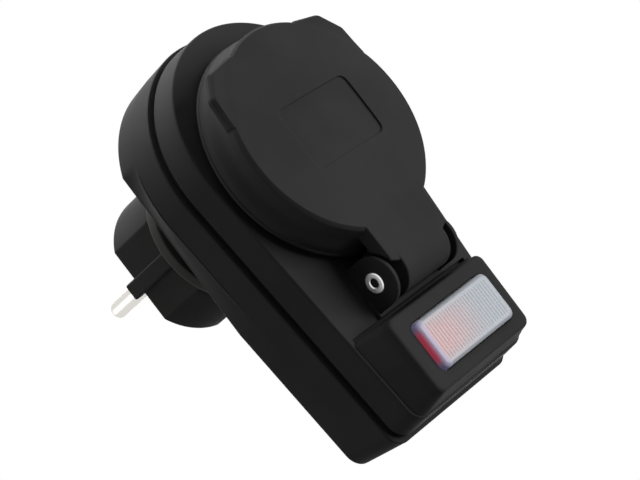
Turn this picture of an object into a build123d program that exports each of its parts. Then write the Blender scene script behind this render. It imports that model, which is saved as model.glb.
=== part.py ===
# A switched adapter plug for one earthed round plug, with a sprung splash lid over its socket.
#
# The plug pins point along +Y into the wall. The lid and the switch look along -Y, and the
# lid's hinge and the switch are at the upper end, along +Z. The origin is midway between the
# pins, on the end face of the plug. A depth is how far a plane lies in front of that face,
# so the plane at a depth is Plane.XZ.offset(depth), with local x along X and y along Z.
import os
from math import cos, radians, sin, sqrt, tan

from build123d import *

os.makedirs("parts", exist_ok=True)

# Plug and socket system
pin_radius = 2.4
shank_radius = 2.1
pin_length = 19.0
pin_x = 9.5
plug_radius = 18.4
plug_flat = 15.5
plug_depth = 16.6
spigot_radius = 14.3
seal_ring_radius = 19.0
neck_radius = 16.6
neck_depth = 20.1
recess_radius = 19.5
recess_depth = 17.5
cup_wall = 1.4

# Depths of the body
rear_depth = 29.8
facet_depth = 36.8
seam_rear = 45.0
seam_front = 46.2
face_depth = 53.9
collar_depth = 61.0
mouth_depth = 62.1
wall = 2.0

# Outline of the body
head_z = -5.5
taper = 5.4
corner = 4.5
rear_radius = 30.4
front_radius = 29.5
collar_radius = 24.0

# Lid and hinge
lid_rim_depth = 55.8
lid_shoulder_depth = 65.7
lid_edge_depth = 66.15
lid_crown_depth = 67.6
lid_roof_depth = 64.4
tab_depth = 63.6
lid_radius = 26.8
hinge_depth = 59.35
hinge_z = 34.4
lug_radius = 6.1
lug_inner = 11.4
lug_outer = 12.6
barrel_half = 8.6
barrel_radius = 6.2
barrel_z = 33.9
barrel_depth = 60.15
hinge_pin_radius = 2.5
tongue_depth = 66.35

# Switch
block_depth = 60.8
block_half = 18.6
block_low = 42.8
block_high = 62.4
foot_z = 41.8
switch_z = 52.75
cap_half_x = 14.8
cap_half_z = 6.25
cap_depth = 62.5
rocker_axis_depth = 54.6
base_half_x = 13.4
base_half_z = 6.8

# Screws
screw_spots = [(-18.0, -21.0), (18.0, -21.0), (-17.5, 57.5), (17.5, 57.5)]
screw_radius = 1.5
boss_radius = 3.0


def half_width(z, radius):
    """Half the width of an outline of this head radius, at a height on its straight sides."""
    slope = radians(taper)
    return radius / cos(slope) - (z - head_z) * tan(slope)


def outline(radius, top, round_over=corner, flat=False):
    """The body's outline as a flat shape: round head, sides that close in, rounded end.

    With flat, a straight chord takes the place of each side between two heights.
    """
    low_z, high_z = -19.0, 25.0
    slope = radians(taper)
    low_x = sqrt(radius ** 2 - (low_z - head_z) ** 2)
    high_x = half_width(high_z, radius)
    if flat:
        mid_x, mid_z = (low_x + high_x) / 2, (low_z + high_z) / 2
    else:
        mid_x, mid_z = radius * cos(slope), head_z + radius * sin(slope)
    end_x = half_width(top, radius)
    with BuildSketch(Plane.XY) as shape:
        with BuildLine():
            ThreePointArc((low_x, low_z), (0, head_z - radius), (-low_x, low_z))
            if flat:
                Line((-low_x, low_z), (-mid_x, mid_z))
                Line((mid_x, mid_z), (low_x, low_z))
            else:
                ThreePointArc((-low_x, low_z), (-radius, head_z), (-mid_x, mid_z))
                ThreePointArc((mid_x, mid_z), (radius, head_z), (low_x, low_z))
            Polyline((-mid_x, mid_z), (-high_x, high_z), (-end_x, top))
            Line((-end_x, top), (end_x, top))
            Polyline((end_x, top), (high_x, high_z), (mid_x, mid_z))
        make_face()
        fillet(vertices().group_by(Axis.Y)[-1], round_over)
    return shape.sketch


def block_face(half_low, half_high, low, high, radius):
    """One level of the switch block, a four-sided figure with rounded corners."""
    with BuildSketch(Plane.XY) as shape:
        with BuildLine():
            Polyline((-half_low, low), (half_low, low), (half_high, high), (-half_high, high),
                     close=True)
        make_face()
        fillet(vertices(), radius)
    return shape.sketch


def stack(levels):
    """A solid form with straight walls between flat shapes, each at its own depth."""
    with BuildPart() as form:
        for depth, shape in levels:
            with BuildSketch(Plane.XZ.offset(depth)):
                add(shape)
        loft(ruled=True)
    return form.part


def strip(points, thickness, low, high, plane):
    """A flat strip that follows points in a plane, between two offsets along its normal."""
    with BuildPart() as band:
        with BuildSketch(plane.offset(low)):
            with BuildLine():
                Polyline(*points)
            trace(line_width=thickness)
        extrude(amount=high - low)
    return band.part


# Rear cover: a tub open at the seam, with a neck for the plug and four screw bosses
with BuildPart() as rear_cover:
    add(stack([
        (rear_depth, outline(rear_radius - 1.3, 64.3, flat=True)),
        (rear_depth + 0.8, outline(rear_radius - 0.6, 65.1, flat=True)),
        (facet_depth, outline(rear_radius - 0.2, 65.6)),
        (seam_rear, outline(rear_radius, 66.3)),
    ]))
    add(stack([
        (rear_depth + wall, outline(rear_radius - 0.6 - wall, 65.0 - wall, corner - 1, flat=True)),
        (facet_depth, outline(rear_radius - 0.4 - wall, 65.4 - wall, corner - 1)),
        (seam_rear, outline(rear_radius - wall, 66.3 - wall, corner - 1)),
    ]), mode=Mode.SUBTRACT)
    with BuildSketch(Plane.XZ.offset(neck_depth)):
        Circle(neck_radius)
    extrude(amount=rear_depth - neck_depth + 0.5)
    with BuildSketch(Plane.XZ.offset(rear_depth + 1)):
        with Locations(*screw_spots):
            Circle(boss_radius)
    extrude(amount=seam_rear - rear_depth - 1)
    with BuildSketch(Plane.XZ.offset(neck_depth - 1)):
        Circle(spigot_radius + 0.05)
    extrude(amount=rear_depth + wall + 2 - neck_depth, mode=Mode.SUBTRACT)
    with BuildSketch(Plane.XZ.offset(rear_depth - 1)):
        with Locations(*screw_spots):
            Circle(screw_radius + 0.2)
    extrude(amount=20, mode=Mode.SUBTRACT)
    with BuildSketch(Plane.XZ.offset(rear_depth - 1)):
        with Locations(*screw_spots):
            Circle(boss_radius - 0.6)
    extrude(amount=5, mode=Mode.SUBTRACT)

# Seal in the seam, a flat ring that follows the outline
with BuildPart() as body_seal:
    with BuildSketch(Plane.XZ.offset(seam_rear)):
        add(outline(front_radius - 0.7, 65.3 - 0.7, corner - 0.7))
    extrude(amount=seam_front - seam_rear)
    with BuildSketch(Plane.XZ.offset(seam_rear - 1)):
        add(outline(front_radius - wall, 65.3 - wall, corner - 1))
    extrude(amount=seam_front - seam_rear + 2, mode=Mode.SUBTRACT)

# Front cover: the tub's other half, with the socket collar, the hinge lugs and the switch block
with BuildPart() as front_cover:
    add(stack([
        (seam_front, outline(front_radius, 65.3)),
        (face_depth - 0.5, outline(front_radius - 0.3, 64.5)),
        (face_depth, outline(front_radius - 0.8, 64.0)),
    ]))
    add(stack([
        (face_depth - 0.7, block_face(24.2, 22.0, foot_z + 0.2, 64.0, 3.2)),
        (block_depth - 1.0, block_face(block_half + 0.7, block_half + 0.3, block_low, block_high, 2.4)),
        (block_depth, block_face(block_half - 0.3, block_half - 0.7, block_low + 0.8, block_high - 0.8,
                                 1.8)),
    ]))
    # Inside of the tub and of the switch block
    add(stack([
        (seam_front, outline(front_radius - wall, 65.3 - wall, corner - 1)),
        (face_depth - wall, outline(front_radius - wall - 0.2, 64.7 - wall, corner - 1)),
    ]), mode=Mode.SUBTRACT)
    add(stack([
        (face_depth - wall - 0.01, block_face(21.8, 19.8, foot_z + 2.4, 62.0, 2.0)),
        (block_depth - wall, block_face(block_half - 1.2, block_half - 1.6, block_low + 1.8,
                                        block_high - 1.9, 1.4)),
    ]), mode=Mode.SUBTRACT)
    with BuildSketch(Plane.XZ.offset(block_depth - wall - 1)):
        with Locations((0, switch_z)):
            RectangleRounded(2 * cap_half_x + 0.1, 2 * cap_half_z + 0.1, 1.8)
    extrude(amount=wall + 2, mode=Mode.SUBTRACT)
    # Socket collar and screw bosses
    with BuildSketch(Plane.XZ.offset(face_depth - wall)):
        Circle(collar_radius)
    extrude(amount=collar_depth - face_depth + wall)
    with BuildSketch(Plane.XZ.offset(seam_front)):
        with Locations(*screw_spots):
            Circle(boss_radius)
    extrude(amount=face_depth - seam_front - 0.5)
    # Hinge lugs, the ledge behind them and the groove at the block's foot
    with BuildSketch(Plane.YZ.offset(-lug_outer)):
        with Locations((-hinge_depth, hinge_z)):
            Circle(lug_radius)
        with BuildLine():
            Polyline((-hinge_depth, hinge_z - lug_radius), (-hinge_depth, hinge_z + lug_radius),
                     (-face_depth + 0.5, hinge_z + lug_radius), (-face_depth + 0.5, hinge_z - lug_radius),
                     close=True)
        make_face()
    extrude(amount=2 * lug_outer)
    with BuildSketch(Plane.XZ.offset(face_depth - 0.5)):
        with Locations((0, 39.2)):
            Rectangle(2 * lug_outer + 1, 4.2)
    extrude(amount=1.6)
    with BuildSketch(Plane.YZ.offset(-lug_inner)):
        with Locations((-hinge_depth, hinge_z)):
            Circle(barrel_radius + 0.3)
        with Locations((-face_depth - 8, hinge_z - 3.3)):
            Rectangle(16, 6.6)
        with Locations((-face_depth - 1.1 - 7, hinge_z + 3.3)):
            Rectangle(14, 6.6)
        # The barrel is not round about the pin, so it swings out further when the lid is open
        with Locations((-hinge_depth - 0.28, hinge_z + 0.9)):
            Circle(barrel_radius + 0.45)
    extrude(amount=2 * lug_inner, mode=Mode.SUBTRACT)
    with BuildSketch(Plane.XZ.offset(face_depth - 0.5)):
        with Locations((0, foot_z - 0.1)):
            Rectangle(46.6, 0.8)
    extrude(amount=2, mode=Mode.SUBTRACT)
    # Bores for the socket cup, its earth clips, the hinge pin and the screws
    with BuildSketch(Plane.XZ.offset(seam_front - 1)):
        Circle(recess_radius + cup_wall + 0.05)
    extrude(amount=20, mode=Mode.SUBTRACT)
    with BuildSketch(Plane.XZ.offset(seam_front - 1)):
        Rectangle(6.8, 45.2)
    extrude(amount=59.6 - seam_front + 1, mode=Mode.SUBTRACT)
    with BuildSketch(Plane.YZ):
        with Locations((-hinge_depth, hinge_z)):
            Circle(hinge_pin_radius + 0.02)
    extrude(amount=20, both=True, mode=Mode.SUBTRACT)
    with BuildSketch(Plane.XZ.offset(seam_front - 1)):
        with Locations(*screw_spots):
            Circle(screw_radius + 0.02)
    extrude(amount=5.5, mode=Mode.SUBTRACT)

# Screws that draw the covers together, with a crossed recess in each head
with BuildPart() as cover_screws:
    with BuildSketch(Plane.XZ.offset(rear_depth + 2.2)):
        with Locations(*screw_spots):
            Circle(boss_radius - 0.7)
    extrude(amount=1.8)
    with BuildSketch(Plane.XZ.offset(rear_depth + 4)):
        with Locations(*screw_spots):
            Circle(screw_radius)
    extrude(amount=16.4)
    with BuildSketch(Plane.XZ.offset(rear_depth + 1.2)):
        with Locations(*screw_spots):
            Rectangle(2.8, 0.7)
            Rectangle(0.7, 2.8)
    extrude(amount=2, mode=Mode.SUBTRACT)

# Plug: a round head with a flat and a rib on each side, and a hollow spigot behind it
with BuildPart() as plug_body:
    with BuildSketch(Plane.XZ):
        Circle(plug_radius)
        Rectangle(2 * plug_flat, 2 * plug_radius, mode=Mode.INTERSECT)
        fillet(vertices(), 1.2)
    extrude(amount=plug_depth)
    fillet(faces().sort_by(Axis.Y)[-1].edges(), 0.8)
    with BuildSketch(Plane.XZ.offset(-2.5)):
        with Locations((plug_flat - 0.3, 0), (0.3 - plug_flat, 0)):
            RectangleRounded(3.0, 4.2, 0.6)
    extrude(amount=plug_depth + 2.3)
    with BuildSketch(Plane.XZ.offset(plug_depth)):
        Circle(spigot_radius)
    extrude(amount=34.6 - plug_depth)
    with BuildSketch(Plane.XZ.offset(32.0)):
        Circle(spigot_radius)
        Circle(spigot_radius - 0.8, mode=Mode.SUBTRACT)
    extrude(amount=1.2, mode=Mode.SUBTRACT)
    with BuildSketch(Plane.XZ.offset(6)):
        Circle(12.6)
    extrude(amount=40, mode=Mode.SUBTRACT)
    with BuildSketch(Plane.XZ.offset(-1)):
        with Locations((pin_x, 0), (-pin_x, 0)):
            Circle(shank_radius + 0.02)
    extrude(amount=8, mode=Mode.SUBTRACT)
    # The earth bow lies in an outside slot and passes through the wall behind it
    with BuildSketch(Plane.XZ.offset(-1)):
        with Locations((0, 18.7), (0, -18.7)):
            Rectangle(6.4, 4.2)
    extrude(amount=14.4, mode=Mode.SUBTRACT)
    with BuildSketch(Plane.XZ.offset(12.4)):
        Rectangle(6.4, 36)
    extrude(amount=1.0, mode=Mode.SUBTRACT)

with BuildPart() as plug_seal_ring:
    with BuildSketch(Plane.XZ.offset(plug_depth)):
        Circle(seal_ring_radius)
        Circle(spigot_radius + 0.02, mode=Mode.SUBTRACT)
    extrude(amount=neck_depth - plug_depth)
    fillet(edges().filter_by(GeomType.CIRCLE).group_by(SortBy.RADIUS)[-1], 0.9)

with BuildPart() as plug_retaining_ring:
    with BuildSketch(Plane.XZ.offset(32.05)):
        Circle(17.0)
        Circle(spigot_radius - 0.75, mode=Mode.SUBTRACT)
    extrude(amount=1.1)

# Plug pins, each with a thinner shank and a flange seated inside the plug's end wall
for x, name in ((-pin_x, "plug_pin_left"), (pin_x, "plug_pin_right")):
    with BuildPart() as pin:
        with Locations(Plane.XZ.offset(-pin_length)):
            with Locations((x, 0, 0)):
                Cylinder(pin_radius, pin_length, align=(Align.CENTER, Align.CENTER, Align.MIN))
        fillet(faces().sort_by(Axis.Y)[-1].edges(), 1.7)
        with BuildSketch(Plane.XZ):
            with Locations((x, 0)):
                Circle(shank_radius)
        extrude(amount=14)
        with BuildSketch(Plane.XZ.offset(6)):
            with Locations((x * 0.93, 0)):
                Circle(3.0)
        extrude(amount=2.5)
    pin.part.label = name
    export_step(pin.part, f"parts/{name}.step")

# Earth bow of the plug: one strip from the upper contact through the plug to the lower one
plug_bow_path = [(-0.8, 17.3), (-12.9, 17.3), (-12.9, 11.4), (-24.0, 11.4), (-24.0, -11.4),
                 (-12.9, -11.4), (-12.9, -17.3), (-0.8, -17.3)]
with BuildPart() as plug_earth_bow:
    add(strip(plug_bow_path, 0.8, -3.0, 3.0, Plane.YZ))

# Socket: a cup with guide ribs on two sides, pin holes in its floor and slots for the earth clips
cup_radius = recess_radius + cup_wall
cup_floor = mouth_depth - recess_depth
with BuildPart() as socket_insert:
    with BuildSketch(Plane.XZ.offset(cup_floor - 2)):
        Circle(cup_radius)
    extrude(amount=recess_depth + 2)
    with BuildSketch(Plane.XZ.offset(collar_depth)):
        Circle(collar_radius - 0.1)
    extrude(amount=mouth_depth - collar_depth)
    with BuildSketch(Plane.XZ.offset(cup_floor)):
        Circle(recess_radius)
    extrude(amount=recess_depth + 1, mode=Mode.SUBTRACT)
    chamfer(edges().filter_by(GeomType.CIRCLE).group_by(Axis.Y)[0].sort_by(SortBy.RADIUS)[0], 0.5)
    with BuildSketch(Plane.XZ.offset(cup_floor - 0.5)):
        Circle(recess_radius + 0.3)
        Rectangle(2 * 17.2, 60, mode=Mode.SUBTRACT)
        Rectangle(60, 5.0, mode=Mode.INTERSECT)
    extrude(amount=recess_depth - 2)
    with BuildSketch(Plane.XZ.offset(cup_floor - 3)):
        with Locations((pin_x, 0), (-pin_x, 0)):
            Circle(2.8)
    extrude(amount=4, mode=Mode.SUBTRACT)
    with BuildSketch(Plane.XZ.offset(cup_floor + 0.6)):
        Rectangle(6.8, 42)
        Circle(16.8, mode=Mode.SUBTRACT)
    extrude(amount=13.6, mode=Mode.SUBTRACT)

# Spring contacts behind the pin holes: split tubes on a solid root
for x, name in ((-pin_x, "socket_contact_left"), (pin_x, "socket_contact_right")):
    with BuildPart() as contact:
        with BuildSketch(Plane.XZ.offset(31.0)):
            with Locations((x, 0)):
                Circle(2.95)
        extrude(amount=11.2)
        with BuildSketch(Plane.XZ.offset(33.0)):
            with Locations((x, 0)):
                Circle(2.45)
        extrude(amount=12, mode=Mode.SUBTRACT)
        with BuildSketch(Plane.XZ.offset(34.5)):
            with Locations((x, 0)):
                Rectangle(0.7, 9)
        extrude(amount=12, mode=Mode.SUBTRACT)
    contact.part.label = name
    export_step(contact.part, f"parts/{name}.step")

# Earth bow of the socket: a strip under the cup with a sprung clip up each side
socket_bow_path = [(-50.0, 18.2), (-53.0, 17.4), (-58.4, 20.4), (-58.4, 21.8), (-41.4, 21.8)]
with BuildPart() as socket_earth_bow:
    add(strip(socket_bow_path + [(y, -z) for y, z in reversed(socket_bow_path)], 0.8, -3.0, 3.0,
              Plane.YZ))

# Bars that join the plug to the switch and to the socket
with BuildPart() as earth_bar:
    add(strip([(-24.4, 0), (-41.0, 0)], 1.0, -2.5, 2.5, Plane.YZ))
with BuildPart() as neutral_bar:
    add(strip([(-14.0, 0), (-30.9, 0)], 1.6, -pin_x - 2.0, -pin_x + 2.0, Plane.YZ))
    add(strip([(-28.0, 0.6), (-28.0, 5.0), (-36.0, 5.0), (-36.0, 50.0), (-39.8, 50.0)], 0.8,
              -pin_x - 1.1, -pin_x + 1.5, Plane.YZ))
with BuildPart() as live_bar_in:
    add(strip([(-14.1, 0), (-22.0, 0), (-22.0, 5.0), (-36.0, 5.0), (-36.0, 55.4), (-39.8, 55.4)], 0.8,
              pin_x - 1.5, pin_x + 1.1, Plane.YZ))
with BuildPart() as live_bar_out:
    add(strip([(-30.5, -2.0), (-30.5, 6.2), (-36.0, 6.2), (-36.0, 50.0), (-39.8, 50.0)], 0.8,
              5.2, 7.6, Plane.YZ))

# Lid: a shallow cap with two finger tabs, and a tongue that ends in the hinge barrel
with BuildPart() as lid:
    with BuildSketch(Plane.YZ):
        with BuildLine():
            Polyline((-lid_roof_depth, 0), (-lid_roof_depth, 24.8), (-lid_roof_depth + 1.0, 25.2),
                     (-lid_rim_depth, 26.6), (-lid_rim_depth, 28.1), (-lid_rim_depth - 0.9, 28.1),
                     (-lid_shoulder_depth, lid_radius), (-lid_edge_depth, lid_radius - 0.4))
            ThreePointArc((-lid_edge_depth, lid_radius - 0.4), (-lid_crown_depth + 0.36, 13.2),
                          (-lid_crown_depth, 0))
            Line((-lid_crown_depth, 0), (-lid_roof_depth, 0))
        make_face()
    revolve(axis=Axis.Y)
    # Finger tabs at the two lower corners
    with BuildSketch(Plane.XZ.offset(tab_depth)):
        with BuildLine():
            Polyline((12.1, -23.5), (12.4, -24.3), (20.3, -23.1), (24.4, -17.8), (25.1, -10.3),
                     (24.2, -10.3))
            ThreePointArc((24.2, -10.3), (18.8, -18.5), (12.1, -23.5))
        make_face()
        mirror(about=Plane.YZ)
    extrude(amount=lid_edge_depth - tab_depth)
    # Tongue and barrel
    with BuildSketch(Plane.XZ.offset(62.4)):
        with BuildLine():
            Polyline((11.5, 23.5), (11.25, 33.0), (barrel_half, 34.0), (-barrel_half, 34.0),
                     (-11.25, 33.0), (-11.5, 23.5))
            ThreePointArc((-11.5, 23.5), (0, 26.2), (11.5, 23.5))
        make_face()
    extrude(amount=tongue_depth - 62.4)
    with BuildSketch(Plane.YZ.offset(-barrel_half)):
        with Locations((-barrel_depth, barrel_z)):
            Circle(barrel_radius)
    extrude(amount=2 * barrel_half)
    # The tongue clears the lugs, and the barrel has a bore and a pocket for the spring
    with BuildSketch(Plane.YZ.offset(barrel_half + 0.01)):
        with Locations((-hinge_depth, hinge_z)):
            Circle(lug_radius + 0.3)
    extrude(amount=5, mode=Mode.SUBTRACT)
    with BuildSketch(Plane.YZ.offset(-barrel_half - 5.01)):
        with Locations((-hinge_depth, hinge_z)):
            Circle(lug_radius + 0.3)
    extrude(amount=5, mode=Mode.SUBTRACT)
    with BuildSketch(Plane.YZ):
        with Locations((-hinge_depth, hinge_z)):
            Circle(hinge_pin_radius + 0.06)
    extrude(amount=20, both=True, mode=Mode.SUBTRACT)
    with BuildSketch(Plane.YZ):
        with Locations((-hinge_depth, hinge_z)):
            Circle(4.3)
        with Locations((-hinge_depth + 4, hinge_z)):
            Rectangle(8, 8.6)
    extrude(amount=4.6, both=True, mode=Mode.SUBTRACT)
    # Shallow panel in the lid's face
    with BuildSketch(Plane.XZ.offset(lid_crown_depth - 0.75)):
        RectangleRounded(25.2, 15.8, 2.0)
    extrude(amount=3, mode=Mode.SUBTRACT)

with BuildPart() as lid_seal:
    with BuildSketch(Plane.XZ.offset(mouth_depth + 0.3)):
        Circle(collar_radius - 0.2)
        Circle(21.4, mode=Mode.SUBTRACT)
    extrude(amount=lid_roof_depth - mouth_depth - 0.3)

# Hinge pin, a tube held by the lugs, and the torsion spring around it
with BuildPart() as hinge_pin:
    with BuildSketch(Plane.YZ.offset(-lug_outer - 0.35)):
        with Locations((-hinge_depth, hinge_z)):
            Circle(hinge_pin_radius)
            Circle(1.1, mode=Mode.SUBTRACT)
    extrude(amount=2 * lug_outer + 0.7)

with BuildPart() as lid_spring:
    with BuildLine():
        coil = Helix(pitch=1.0, height=6.0, radius=3.3, center=(-3.0, -hinge_depth, hinge_z),
                     direction=(1, 0, 0))
    with BuildSketch(Plane(coil @ 0, z_dir=coil % 0)):
        Circle(0.38)
    sweep(is_frenet=True)

# Switch: an open box that carries a rocker on two trunnions
with BuildPart() as switch_base:
    with BuildSketch(Plane.XZ.offset(43.2)):
        with Locations((0, switch_z)):
            Rectangle(2 * base_half_x, 2 * base_half_z)
    extrude(amount=56.6 - 43.2)
    with BuildSketch(Plane.XZ.offset(44.6)):
        with Locations((0, switch_z)):
            Rectangle(2 * base_half_x - 2.4, 2 * base_half_z - 2.4)
    extrude(amount=20, mode=Mode.SUBTRACT)
    with BuildSketch(Plane.XY.offset(switch_z)):
        with Locations((0, -rocker_axis_depth)):
            Circle(1.3 + 0.05)
    extrude(amount=6.4, both=True, mode=Mode.SUBTRACT)

with BuildPart() as switch_rocker:
    with BuildSketch(Plane.XY.offset(switch_z - 5.2)):
        with BuildLine():
            Polyline((-11.4, -57.4), (-3.0, -53.2), (3.0, -53.2), (11.4, -57.4), (11.2, -59.4))
            ThreePointArc((11.2, -59.4), (0, -60.6), (-11.2, -59.4))
            Line((-11.2, -59.4), (-11.4, -57.4))
        make_face()
    extrude(amount=10.4)
    with BuildSketch(Plane.XY.offset(switch_z)):
        with Locations((0, -rocker_axis_depth)):
            Circle(1.3)
    extrude(amount=6.3, both=True)
    with BuildSketch(Plane.XY.offset(switch_z - 1.5)):
        Polygon((-1.2, -54.0), (1.2, -54.0), (0.8, -47.0), (-0.8, -47.0), align=None)
    extrude(amount=3.0)

with BuildPart() as switch_terminals:
    with BuildSketch(Plane.XZ.offset(39.9)):
        with Locations((pin_x, 55.4), (6.4, 50.0), (-pin_x, 50.0)):
            Rectangle(3.0, 0.8)
    extrude(amount=3.3)

with BuildPart() as indicator_lamp:
    with BuildSketch(Plane.XY.offset(switch_z - 4.5)):
        with Locations((8.5, -50.6)):
            Circle(1.6)
    extrude(amount=9.0)
    fillet(edges().filter_by(GeomType.CIRCLE), 0.9)

# Ribbed rubber cap over the rocker: a flange under the cover, a wall and a ribbed top
with BuildPart() as switch_cap:
    with BuildSketch(Plane.XZ.offset(57.5)):
        with Locations((0, switch_z)):
            RectangleRounded(2 * cap_half_x + 2.6, 2 * cap_half_z + 2.2, 2.4)
    extrude(amount=block_depth - wall - 0.05 - 57.5)
    with BuildSketch(Plane.XZ.offset(57.5)):
        with Locations((0, switch_z)):
            RectangleRounded(2 * cap_half_x - 0.1, 2 * cap_half_z - 0.1, 1.7)
    extrude(amount=cap_depth - 57.5)
    fillet(faces().sort_by(Axis.Y)[0].edges(), 0.5)
    with BuildSketch(Plane.XZ.offset(57)):
        with Locations((0, switch_z)):
            RectangleRounded(2 * cap_half_x - 2.1, 2 * cap_half_z - 1.3, 0.9)
    extrude(amount=61.5 - 57, mode=Mode.SUBTRACT)
    with BuildSketch(Plane.XZ.offset(cap_depth - 0.3)):
        with Locations((-1.2, switch_z)):
            with GridLocations(1.0, 1, 24, 1):
                SlotOverall(2 * cap_half_z - 2.6, 0.45, rotation=90)
    extrude(amount=1, mode=Mode.SUBTRACT)

pieces = {
    "rear_cover": rear_cover, "body_seal": body_seal, "front_cover": front_cover,
    "cover_screws": cover_screws, "plug_body": plug_body, "plug_seal_ring": plug_seal_ring,
    "plug_retaining_ring": plug_retaining_ring, "plug_earth_bow": plug_earth_bow,
    "socket_insert": socket_insert, "socket_earth_bow": socket_earth_bow, "earth_bar": earth_bar,
    "neutral_bar": neutral_bar, "live_bar_in": live_bar_in, "live_bar_out": live_bar_out,
    "lid": lid, "lid_seal": lid_seal, "hinge_pin": hinge_pin, "lid_spring": lid_spring,
    "switch_base": switch_base, "switch_rocker": switch_rocker, "switch_terminals": switch_terminals,
    "indicator_lamp": indicator_lamp, "switch_cap": switch_cap,
}
for name, piece in pieces.items():
    piece.part.label = name
    export_step(piece.part, f"parts/{name}.step")
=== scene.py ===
# %% [markdown]
# # A switched adapter plug
# The subject is an adapter for one earthed plug: a black moulded body on a round plug head,
# a sprung round lid over its socket, and a lit rocker switch under a ribbed rubber cap. The
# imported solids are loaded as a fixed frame. Smooth surfaces are then built over the ones that
# show, because a solid's mesh is made for measuring and lacks the fine rounding of a moulding.

# %% Load the frame
from math import asin, cos, pi, radians, sin, sqrt, tan

import bmesh
import bpy
import numpy as np
from mathutils import Matrix, Vector
from mathutils.geometry import tessellate_polygon


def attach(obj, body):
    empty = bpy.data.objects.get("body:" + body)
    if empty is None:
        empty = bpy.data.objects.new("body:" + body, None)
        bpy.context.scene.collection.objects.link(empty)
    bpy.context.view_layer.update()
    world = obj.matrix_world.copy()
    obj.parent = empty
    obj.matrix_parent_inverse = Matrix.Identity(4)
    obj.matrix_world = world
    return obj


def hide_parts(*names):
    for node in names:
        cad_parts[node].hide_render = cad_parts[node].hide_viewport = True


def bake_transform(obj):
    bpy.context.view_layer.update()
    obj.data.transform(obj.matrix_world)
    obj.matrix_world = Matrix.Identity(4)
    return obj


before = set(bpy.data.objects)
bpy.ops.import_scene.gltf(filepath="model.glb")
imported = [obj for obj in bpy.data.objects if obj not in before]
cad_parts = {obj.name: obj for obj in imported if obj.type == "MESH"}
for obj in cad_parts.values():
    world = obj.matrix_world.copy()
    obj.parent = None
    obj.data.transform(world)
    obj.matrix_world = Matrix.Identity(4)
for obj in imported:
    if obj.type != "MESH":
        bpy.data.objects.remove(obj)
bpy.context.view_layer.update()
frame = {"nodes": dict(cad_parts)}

# %% [markdown]
# ## Measures
# Everything is written in millimetres, and a depth says how far a plane lies in front of the
# plug's end face, along -Y. One function turns both into points, and the mesh builder turns
# millimetres into metres, so the rest of the file can think in the drawing's own terms.

# %% Measures of the body
# Depths of the rear face, the crease, the two sides of the seam and the front face
REAR, CREASE, SEAM_REAR, SEAM_FRONT, FACE = 29.8, 36.8, 45.0, 46.2, 53.9
# Height of the round head's centre, the lean of the long sides, and each cover's radius
HEAD_Z, TAPER, REAR_R, FRONT_R = -5.5, radians(5.4), 30.4, 29.5
# Height of the end wall: rear cover at its back and at the seam, front cover at the seam
BACK_TOP, REAR_TOP, FRONT_TOP = 65.0, 66.3, 65.3
# Inner faces of the two covers, and the bores of the neck and of the socket's collar
REAR_INSIDE, FRONT_INSIDE, NECK_BORE, COLLAR_BORE = 31.9, 51.9, 14.36, 20.96
# The hinge's axis, the middle of the switch and of its cap, and the plug's pins
HINGE_DEPTH, HINGE_Z = 59.35, 34.4
SWITCH_Z, CAP_X = 52.75, -0.75
PIN_X, PIN_R = 9.5, 2.4


def place(x, depth, z):
    """Points in mm, stacked as x, minus depth, z along the last axis."""
    x, depth, z = np.broadcast_arrays(x, depth, z)
    return np.stack([x, -depth, z], axis=-1).astype(float)


print("body from depth", REAR, "to", FACE, "mm")

# %% [markdown]
# ## One way to build a mesh
# Nearly every part here is a stack of closed loops: an outline that is repeated at new depths
# and sizes. Blender could loft or bevel these, but a stack of loops gives full control of each
# edge radius. Neighbouring loops are joined by quads, and flat ends with holes are filled with
# triangles. Welding then closes the skin, and edges sharper than an angle stay crisp.

# %% Meshes from loops
def ring(radius, depth, count=160):
    """A circle about the plug's axis: radius times cosine and sine, at one depth."""
    a = np.arange(count) * 2 * pi / count
    return place(radius * np.cos(a), depth, radius * np.sin(a))


def make_piece(name, bands, plates=(), sheets=(), body="housing", sharp=38, nodes=()):
    """Joins stacks of loops, open grids and flat plates into one closed mesh.

    A band is an array of loops by points by xyz, and quads join each loop to the next. A
    sheet is the same with rows that stay open. A plate is a list of flat loops, the first
    the rim and the others holes in it.
    """
    points, faces, start = [], [], 0
    for band, wraps in [(b, True) for b in bands] + [(g, False) for g in sheets]:
        rows, cols = band.shape[:2]
        i = np.arange(rows * cols).reshape(rows, cols) + start
        if wraps:
            i = np.concatenate([i, i[:, :1]], axis=1)
        a, b = i[:-1], i[1:]
        quads = np.stack([a[:, :-1], a[:, 1:], b[:, 1:], b[:, :-1]], axis=-1)
        faces += quads.reshape(-1, 4).tolist()
        points.append(band.reshape(-1, 3))
        start += rows * cols
    for loops in plates:
        flat = [[Vector(p) for p in loop] for loop in loops]
        faces += [[start + k for k in tri] for tri in tessellate_polygon(flat)]
        points.append(np.concatenate(loops))
        start += sum(len(loop) for loop in loops)
    mesh = bpy.data.meshes.new(name)
    mesh.from_pydata(np.concatenate(points) / 1000, [], faces)
    bm = bmesh.new()
    bm.from_mesh(mesh)
    bmesh.ops.remove_doubles(bm, verts=bm.verts, dist=2e-6)
    bmesh.ops.dissolve_degenerate(bm, edges=bm.edges, dist=1e-7)
    bmesh.ops.recalc_face_normals(bm, faces=bm.faces)
    bm.to_mesh(mesh)
    bm.free()
    mesh.shade_smooth()
    mesh.set_sharp_from_angle(angle=radians(sharp))
    piece = bpy.data.objects.new(name, mesh)
    bpy.context.scene.collection.objects.link(piece)
    if body:
        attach(piece, body)
    if nodes:
        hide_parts(*nodes)
    print(name, len(mesh.polygons), "faces")
    return piece


def turned(profile, count=160):
    """A profile of (radius, depth) pairs carried round the plug's axis, one loop per pair."""
    return np.stack([ring(r, d, count) for r, d in profile])


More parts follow.
